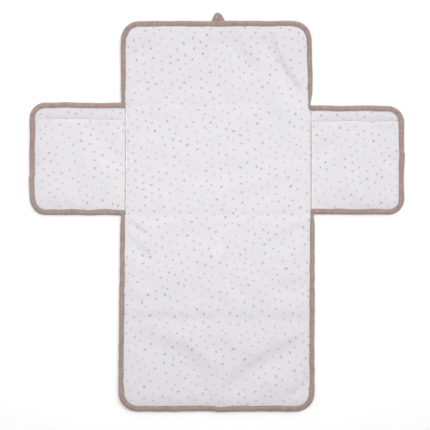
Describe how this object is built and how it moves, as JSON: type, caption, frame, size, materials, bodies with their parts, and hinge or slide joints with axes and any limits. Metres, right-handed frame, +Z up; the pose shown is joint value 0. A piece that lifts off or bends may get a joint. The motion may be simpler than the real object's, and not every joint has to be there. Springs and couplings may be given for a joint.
{
  "type": "changing pad",
  "caption": "Foldable quilted changing pad lying open, with a pocketed wing on each side, bound edges and a loop and button closure.",
  "frame": {"origin": "under the middle of the open pad, on the surface it lies on", "axes": "+X to the right, +Y along the pad towards the closing loop, +Z up out of the printed side"},
  "size_m": [0.6564, 0.7, 0.0106],
  "materials": {
    "print_fabric": "off-white woven cotton with a small scattered taupe and grey print, matt",
    "binding_fabric": "plain taupe woven tape, matt, darker along its stitched edge",
    "backing_fabric": "plain light backing cloth, matt",
    "wadding": "white fibre wadding",
    "button": "taupe moulded four-hole button, satin",
    "thread": "twisted sewing thread"
  },
  "bodies": {
    "centre": {"centre_backing": "backing_fabric", "centre_padding": "wadding", "centre_cover": "print_fabric"},
    "top_flap": {"top_flap_backing": "backing_fabric", "top_flap_padding": "wadding", "top_flap_cover": "print_fabric", "top_flap_binding": "binding_fabric"},
    "loop": {"closing_loop": "binding_fabric"},
    "lower": {"lower_backing": "backing_fabric", "lower_padding": "wadding", "lower_cover": "print_fabric", "lower_binding_left": "binding_fabric", "lower_binding_right": "binding_fabric", "closing_button": "button", "button_thread": "thread"},
    "foot": {"foot_backing": "backing_fabric", "foot_padding": "wadding", "foot_cover": "print_fabric", "foot_binding": "binding_fabric"},
    "left_wing": {"left_wing_backing": "backing_fabric", "left_wing_padding": "wadding", "left_wing_cover": "print_fabric", "left_wing_binding": "binding_fabric", "left_pocket": "print_fabric"},
    "right_wing": {"right_wing_backing": "backing_fabric", "right_wing_padding": "wadding", "right_wing_cover": "print_fabric", "right_wing_binding": "binding_fabric", "right_pocket": "print_fabric"}
  },
  "joints": [
    {"name": "left_wing_fold", "type": "hinge", "parent": "centre", "child": "left_wing", "pos_m": [-0.165, 0.092, 0.0094], "axis": [0, 1, 0], "range_deg": [0, 179.9]},
    {"name": "right_wing_fold", "type": "hinge", "parent": "centre", "child": "right_wing", "pos_m": [0.165, 0.092, 0.0094], "axis": [0, -1, 0], "range_deg": [0, 179.9]},
    {"name": "mid_fold", "type": "hinge", "parent": "centre", "child": "lower", "pos_m": [0, -0.011, 0.0176], "axis": [-1, 0, 0], "range_deg": [0, 179.9]},
    {"name": "end_fold", "type": "hinge", "parent": "lower", "child": "foot", "pos_m": [0, -0.186, 0.0077], "axis": [-1, 0, 0], "range_deg": [0, 179.9]},
    {"name": "top_flap_fold", "type": "hinge", "parent": "centre", "child": "top_flap", "pos_m": [0, 0.195, 0.0217], "axis": [1, 0, 0], "range_deg": [0, 179.9]},
    {"name": "loop_flex", "type": "hinge", "parent": "top_flap", "child": "loop", "pos_m": [0.004, 0.3355, 0.0033], "axis": [-1, 0, 0], "range_deg": [-90, 0]}
  ]
}
